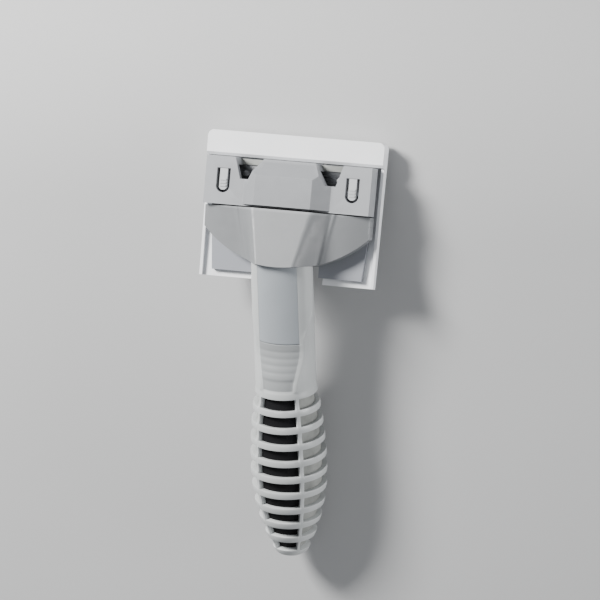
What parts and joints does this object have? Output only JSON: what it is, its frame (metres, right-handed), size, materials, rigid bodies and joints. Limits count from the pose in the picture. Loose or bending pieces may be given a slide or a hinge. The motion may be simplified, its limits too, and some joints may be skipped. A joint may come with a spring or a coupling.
{
  "type": "blade scraper for aquarium glass",
  "caption": "Hand scraper with a wide blade under a press-on clamp bar, a slide-off blade guard, a flared shoulder and a ribbed barrel grip.",
  "frame": {"origin": "on the surface the tool lies on, in the middle of its bounding box", "axes": "+Y from the butt of the handle to the blade, +Z out of the front face, +X to the right of the front face"},
  "size_m": [0.0904, 0.2108, 0.0439],
  "materials": {
    "shell_plastic": "satin moulded, light cool grey",
    "panel_plastic": "fine matt texture, cool grey",
    "core_rubber": "black, soft",
    "side_rubber": "mid grey, soft",
    "head_plastic": "moulded grey",
    "cover_plastic": "satin moulded grey",
    "clamp_plastic": "satin moulded grey",
    "latch_plastic": "satin moulded, light grey",
    "guard_plastic": "frosted translucent",
    "blade_steel": "ground, polished edge",
    "screw_steel": "zinc plated"
  },
  "bodies": {
    "tool": {"handle_front_shell": "shell_plastic", "handle_rear_shell": "shell_plastic", "thumb_panel": "panel_plastic", "grip_core": "core_rubber", "side_grip_left": "side_rubber", "side_grip_right": "side_rubber", "handle_screws": "screw_steel", "head_base": "head_plastic", "blade_locating_pins": "screw_steel", "blade": "blade_steel", "shoulder_cover": "cover_plastic", "head_screws": "screw_steel"},
    "clamp": {"clamp_bar": "clamp_plastic", "pressure_strip": "side_rubber"},
    "tongue_left": {"latch_left": "latch_plastic"},
    "tongue_right": {"latch_right": "latch_plastic"},
    "guard": {"blade_guard": "guard_plastic"}
  },
  "joints": [
    {"name": "guard_slide", "type": "slide", "parent": "tool", "child": "guard", "axis": [0, 0.9563, -0.2924], "range_m": [0, 0.075]},
    {"name": "clamp_lift", "type": "slide", "parent": "tool", "child": "clamp", "axis": [0, 0.2924, 0.9563], "range_m": [0, 0.025]},
    {"name": "tongue_left_press", "type": "hinge", "parent": "clamp", "child": "tongue_left", "pos_m": [-0.033, 0.08937, 0.01858], "axis": [1, 0, 0], "range_deg": [0, 5], "stiffness_Nm_per_rad": 0.2},
    {"name": "tongue_right_press", "type": "hinge", "parent": "clamp", "child": "tongue_right", "pos_m": [0.033, 0.08937, 0.01858], "axis": [1, 0, 0], "range_deg": [0, 5], "stiffness_Nm_per_rad": 0.2}
  ]
}
